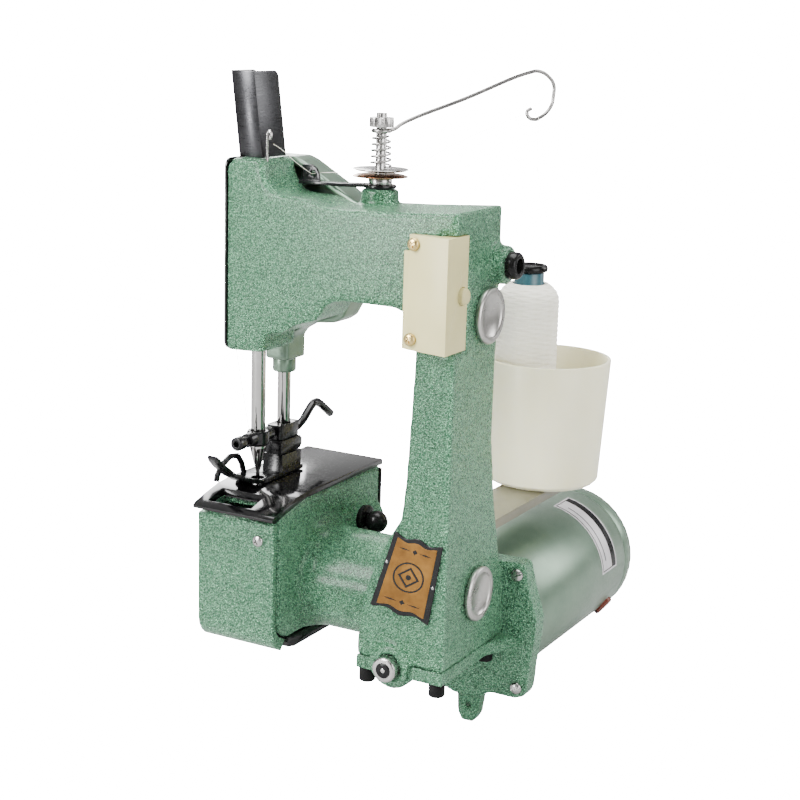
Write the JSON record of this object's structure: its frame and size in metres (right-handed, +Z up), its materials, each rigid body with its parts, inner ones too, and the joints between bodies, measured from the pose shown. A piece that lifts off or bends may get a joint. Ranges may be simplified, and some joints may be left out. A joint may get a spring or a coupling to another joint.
{
  "type": "portable bag closing sewing machine",
  "caption": "Hand-held sewing machine that chain-stitches the mouths of sacks shut, with a rear motor, a spring tension and a thread cone in a cup.",
  "frame": {"origin": "axis of the hand-grip column, half-way between the centres of its two shaft end caps", "axes": "+X from the sewing head to the column's right face, -Y towards the front of the machine, +Z up along the column"},
  "size_m": [0.1456, 0.2356, 0.3233],
  "materials": {
    "green_hammertone": "hammered enamel on cast aluminium",
    "green_smooth": "smooth satin enamel",
    "black_enamel": "gloss black enamel",
    "black_steel": "blackened steel",
    "steel": "bright steel",
    "chrome": "polished plating",
    "brass": "satin",
    "copper": "copper-coloured plating",
    "grey_sheet": "dark grey coated sheet steel",
    "rubber": "matt",
    "cream_plastic": "fine moulded texture",
    "clear_plastic": "translucent white",
    "black_plastic": "semi-gloss",
    "teal_plastic": "moulded",
    "yarn_white": "twisted cotton thread"
  },
  "bodies": {
    "frame": {"body_casting": "green_hammertone", "head_rear_cover": "green_smooth", "head_end_cover": "black_enamel", "looper_housing": "green_hammertone", "looper_front_cover": "green_hammertone", "looper_bottom_cover": "black_enamel", "throat_plate": "black_enamel", "base_plate": "green_hammertone", "hub_sleeve": "steel", "rubber_foot_front_left": "rubber", "rubber_foot_front_right": "rubber", "rubber_foot_rear_right": "rubber", "rubber_foot_rear_left": "rubber", "motor_bracket": "green_hammertone", "motor_shell": "green_smooth", "motor_end_cap": "green_smooth", "timing_belt": "rubber", "upper_end_cap": "chrome", "lower_end_cap": "chrome", "needle_guard": "grey_sheet", "presser_bushing": "green_smooth", "presser_spring": "steel", "tension_post": "steel", "tension_disc_lower": "copper", "tension_disc_upper": "steel", "tension_spring": "steel", "thread_hook": "steel", "guide_strip": "black_steel", "thread": "yarn_white", "cup_bracket": "clear_plastic", "thread_cup": "clear_plastic", "yarn_cone": "yarn_white", "cone_tube": "teal_plastic", "cone_cap": "black_plastic", "switch_box": "cream_plastic", "switch_screw_upper": "steel", "switch_screw_lower": "steel", "looper_cover_screw": "steel", "cable_gland": "black_plastic", "nameplate": "brass"},
    "motor": {"motor_rotor": "steel"},
    "lower_drive": {"lower_shaft": "steel", "worm_wheel": "brass"},
    "upper_drive": {"upper_shaft": "steel"},
    "idler": {"belt_idler": "steel"},
    "needle_group": {"needle_bar": "chrome", "take_up_arm": "steel", "needle_clamp": "black_steel", "clamp_screw": "black_steel", "needle": "chrome", "stitch_thread": "yarn_white"},
    "rod": {"connecting_rod": "steel"},
    "presser_group": {"presser_bar": "chrome", "presser_collar": "black_steel", "presser_foot": "black_steel"},
    "button": {"switch_button": "cream_plastic"},
    "nut": {"tension_nut": "steel"},
    "latch": {"latch_knob": "black_plastic"},
    "looper": {"looper": "chrome"},
    "feed": {"feed_dog": "steel"}
  },
  "joints": [
    {"name": "motor_spin", "type": "hinge", "parent": "frame", "child": "motor", "pos_m": [-0.0148, 0, -0.098], "axis": [0, 1, 0], "continuous": true},
    {"name": "lower_spin", "type": "hinge", "parent": "frame", "child": "lower_drive", "pos_m": [0, 0, -0.0665], "axis": [1, 0, 0], "continuous": true},
    {"name": "upper_spin", "type": "hinge", "parent": "frame", "child": "upper_drive", "pos_m": [0, -0.012, 0.0909], "axis": [1, 0, 0], "continuous": true},
    {"name": "idler_spin", "type": "hinge", "parent": "frame", "child": "idler", "pos_m": [0, -0.003, 0.0665], "axis": [1, 0, 0], "continuous": true},
    {"name": "needle_bar_slide", "type": "slide", "parent": "frame", "child": "needle_group", "axis": [0, 0, 1], "range_m": [-0.0085, 0.0115]},
    {"name": "rod_swing", "type": "hinge", "parent": "needle_group", "child": "rod", "pos_m": [-0.095, -0.0178, 0.06401], "axis": [1, 0, 0], "range_deg": [-46, 0.2]},
    {"name": "presser_slide", "type": "slide", "parent": "frame", "child": "presser_group", "axis": [0, 0, 1], "range_m": [0, 0.008], "stiffness_N_per_m": 800, "springref_m": -0.01, "deforming": ["presser_spring"]},
    {"name": "button_press", "type": "slide", "parent": "frame", "child": "button", "axis": [-1, 0, 0], "range_m": [0, 0.0012], "stiffness_N_per_m": 600, "springref_m": -0.001},
    {"name": "latch_pull", "type": "slide", "parent": "frame", "child": "latch", "axis": [1, 0, 0], "range_m": [0, 0.004], "stiffness_N_per_m": 500, "springref_m": -0.003},
    {"name": "tension_nut_turn", "type": "hinge", "parent": "frame", "child": "nut", "pos_m": [-0.0455, 0, 0.15], "axis": [0, 0, 1], "range_deg": [-180, 180]},
    {"name": "looper_rock", "type": "hinge", "parent": "frame", "child": "looper", "pos_m": [-0.096, 0.017, -0.066], "axis": [1, 0, 0], "range_deg": [-7.5, 10]},
    {"name": "feed_slide", "type": "slide", "parent": "frame", "child": "feed", "axis": [0, 1, 0], "range_m": [-0.0015, 0.0015]}
  ],
  "couplings": [
    {"joint": "lower_spin", "follows": "motor_spin", "ratio": 0.083333},
    {"joint": "upper_spin", "follows": "motor_spin", "ratio": 0.083333},
    {"joint": "idler_spin", "follows": "motor_spin", "ratio": 0.14394}
  ]
}
